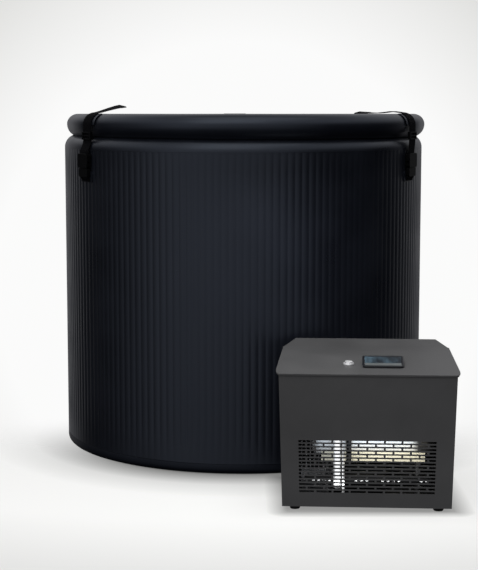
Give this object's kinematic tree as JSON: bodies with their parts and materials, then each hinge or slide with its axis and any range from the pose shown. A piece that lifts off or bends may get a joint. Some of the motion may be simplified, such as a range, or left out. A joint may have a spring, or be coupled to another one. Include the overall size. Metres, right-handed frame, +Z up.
{
  "type": "cold plunge tub",
  "caption": "Round inflatable cold plunge tub with upright ribbed walls, an inflated lid held by buckled straps, and a free-standing grilled chiller with a sloped control top.",
  "frame": {"origin": "middle of the tub's underside, on the floor", "axes": "+Z up, -Y towards the front where the chiller stands, +X to the right seen from the front; +Y is the longest extent"},
  "size_m": [0.951, 1.2302, 0.8264],
  "materials": {
    "vinyl": "satin blue-black coated fabric",
    "liner": "satin",
    "webbing": "woven",
    "moulding": "moulded black",
    "casing": "fine textured dark grey powder coat",
    "display": "dark gloss window",
    "chrome": "polished",
    "rubber": "matt",
    "compressor_can": "black",
    "barrel_steel": "bright",
    "fins": "bare",
    "white_pipe": "white",
    "brass": "bare"
  },
  "bodies": {
    "tub": {"floor_panel": "vinyl", "base_rail": "vinyl", "wall_chamber": "vinyl", "outer_skin": "vinyl", "inner_liner": "liner", "rim_rail": "vinyl", "suction_fitting": "moulding", "suction_valve": "moulding", "return_fitting": "moulding", "return_valve": "moulding", "drain_fitting": "moulding", "wall_air_valve": "moulding", "wall_patch_left": "webbing", "wall_patch_right": "webbing", "wall_patch_rear": "webbing", "buckle_clip_left": "moulding", "buckle_clip_right": "moulding", "buckle_clip_rear": "moulding"},
    "lid": {"lid_pad": "vinyl", "lid_air_valve": "moulding", "lid_patch_left": "vinyl", "strap_left": "webbing", "slider_left": "moulding", "buckle_socket_left": "moulding", "lid_patch_right": "vinyl", "strap_right": "webbing", "slider_right": "moulding", "buckle_socket_right": "moulding", "lid_patch_rear": "vinyl", "strap_rear": "webbing", "slider_rear": "moulding", "buckle_socket_rear": "moulding"},
    "chiller": {"base_pan": "casing", "front_panel": "casing", "left_panel": "casing", "right_panel": "casing", "rear_panel": "casing", "top_cover": "casing", "display_module": "display", "button_bezel": "chrome", "foot_front_left": "rubber", "foot_front_right": "rubber", "foot_rear_left": "rubber", "foot_rear_right": "rubber", "compressor": "compressor_can", "evaporator_barrel": "barrel_steel", "condenser": "fins", "fan_shroud": "moulding", "circulation_pump": "moulding", "rising_pipe": "white_pipe", "water_inlet_union": "brass", "water_outlet_union": "brass", "mains_inlet": "moulding"},
    "suction_lever": {"suction_lever": "moulding"},
    "return_lever": {"return_lever": "moulding"},
    "drain_cap": {"drain_cap": "moulding"},
    "wall_valve_cap": {"wall_valve_cap": "moulding"},
    "lid_valve_cap": {"lid_valve_cap": "moulding"},
    "power_button": {"power_button": "chrome"},
    "fan_rotor": {"fan_rotor": "moulding"}
  },
  "joints": [
    {"name": "lid_lift", "type": "slide", "parent": "tub", "child": "lid", "axis": [0, 0, 1], "range_m": [0, 0.45]},
    {"name": "chiller_slide", "type": "slide", "parent": "tub", "child": "chiller", "axis": [-0.0628, -0.998, 0], "range_m": [0, 0.35]},
    {"name": "power_button_press", "type": "slide", "parent": "chiller", "child": "power_button", "axis": [0.0043, 0.0677, -0.9977], "range_m": [0, 0.0025], "stiffness_N_per_m": 1500, "springref_m": -0.002},
    {"name": "fan_spin", "type": "hinge", "parent": "chiller", "child": "fan_rotor", "pos_m": [0.21331, -0.48806, 0.13], "axis": [0.0628, 0.998, 0], "continuous": true},
    {"name": "suction_valve_turn", "type": "hinge", "parent": "tub", "child": "suction_lever", "pos_m": [0.46742, -0.04913, 0.156], "axis": [0, 0, 1], "range_deg": [-90, 0]},
    {"name": "return_valve_turn", "type": "hinge", "parent": "tub", "child": "return_lever", "pos_m": [0.46742, 0.04913, 0.156], "axis": [0, 0, 1], "range_deg": [0, 90]},
    {"name": "drain_cap_off", "type": "slide", "parent": "tub", "child": "drain_cap", "axis": [0, 1, 0], "range_m": [0, 0.06]},
    {"name": "wall_valve_cap_off", "type": "slide", "parent": "tub", "child": "wall_valve_cap", "axis": [0.5, 0.866, 0], "range_m": [0, 0.04]},
    {"name": "lid_valve_cap_off", "type": "slide", "parent": "lid", "child": "lid_valve_cap", "axis": [0, 0, 1], "range_m": [0, 0.04]}
  ]
}
